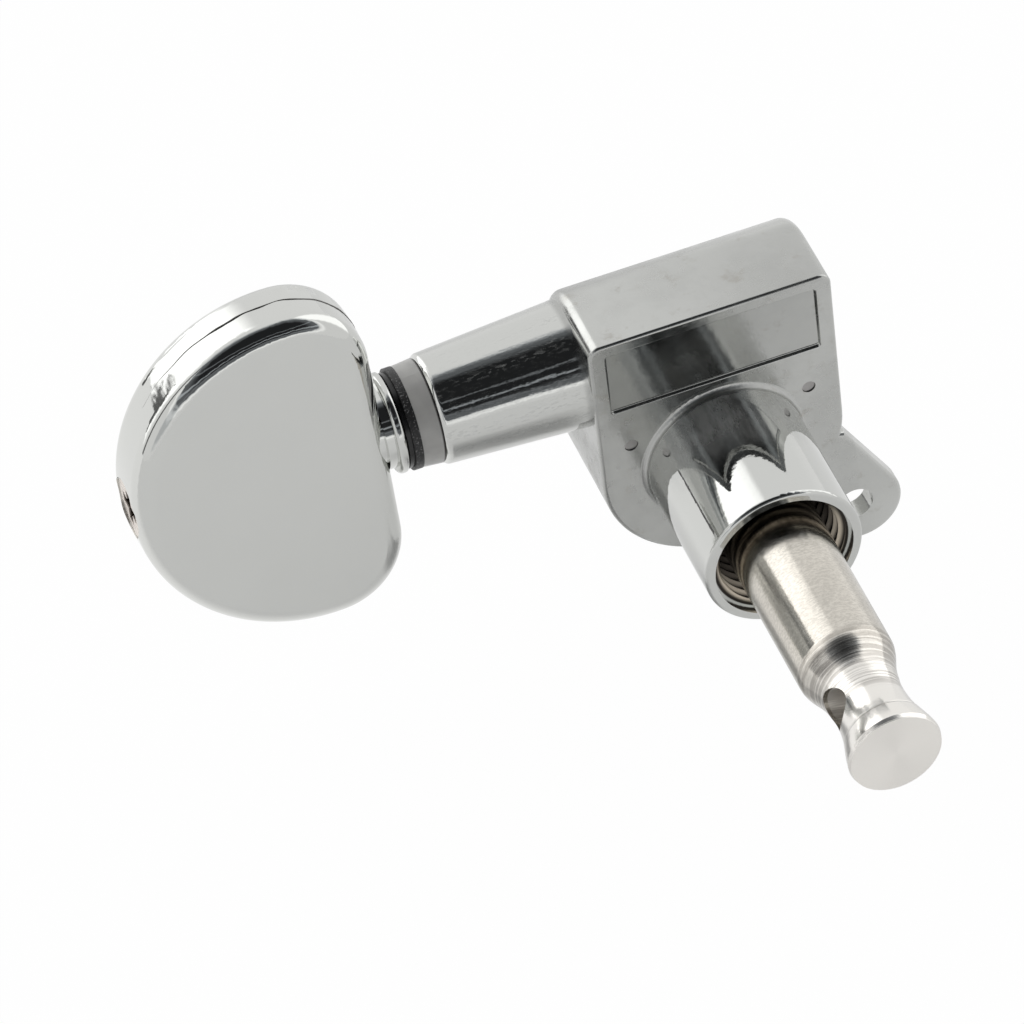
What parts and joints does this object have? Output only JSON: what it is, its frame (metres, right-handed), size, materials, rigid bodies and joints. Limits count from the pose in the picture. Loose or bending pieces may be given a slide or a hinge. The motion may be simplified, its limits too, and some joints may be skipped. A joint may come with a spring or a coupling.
{
  "type": "guitar tuning machine",
  "caption": "Sealed guitar tuning machine: a D-shaped knob turns a worm in a cast housing and winds the string post, which stands in a threaded sleeve.",
  "frame": {"origin": "where the string post's axis meets the seat face that lies on the headstock", "axes": "+Y along the post's axis from the string end into the housing, +X along the worm shaft away from the knob, +Z from the post towards the worm shaft"},
  "size_m": [0.0463, 0.0354, 0.0289],
  "materials": {
    "casting": "polished chrome plate",
    "cover": "polished chrome plate",
    "gasket": "matt fibre sheet",
    "pin": "bare, ground flush",
    "bush": "plain bearing bronze",
    "seal": "matt",
    "thrust_washer": "matt white nylon",
    "post": "satin nickel plate",
    "wheel": "machined",
    "steel": "machined, oiled",
    "nylon": "warm grey, slightly see-through nylon",
    "friction": "matt black with fine grey specks",
    "blackened": "blackened spring steel",
    "collar": "polished chrome plate",
    "knob": "polished chrome plate",
    "knob_screw": "nickel plate"
  },
  "bodies": {
    "casing": {"housing": "casting", "back_cover": "cover", "cover_gasket": "gasket", "cover_pins": "pin", "post_bush": "bush", "post_seal": "seal", "post_thrust_washer": "thrust_washer", "end_bush": "bush", "worm_thrust_washer": "thrust_washer", "inner_bush": "bush", "shaft_seal": "seal", "barrel_bush": "nylon", "friction_washer": "friction", "spring_washer": "blackened"},
    "knob_and_worm": {"worm_shaft": "steel", "collar_washer": "collar", "knob": "knob", "knob_screw": "knob_screw"},
    "post_and_wheel": {"string_post": "post", "worm_wheel": "wheel", "gear_washer": "steel", "gear_screw": "steel"}
  },
  "joints": [
    {"name": "knob_spin", "type": "hinge", "parent": "casing", "child": "knob_and_worm", "pos_m": [0, 0.00398, 0.007], "axis": [1, 0, 0], "continuous": true},
    {"name": "post_turn", "type": "hinge", "parent": "casing", "child": "post_and_wheel", "pos_m": [0, 0, 0], "axis": [0, 1, 0], "continuous": true}
  ],
  "couplings": [
    {"joint": "post_turn", "follows": "knob_spin", "ratio": -0.0625}
  ]
}
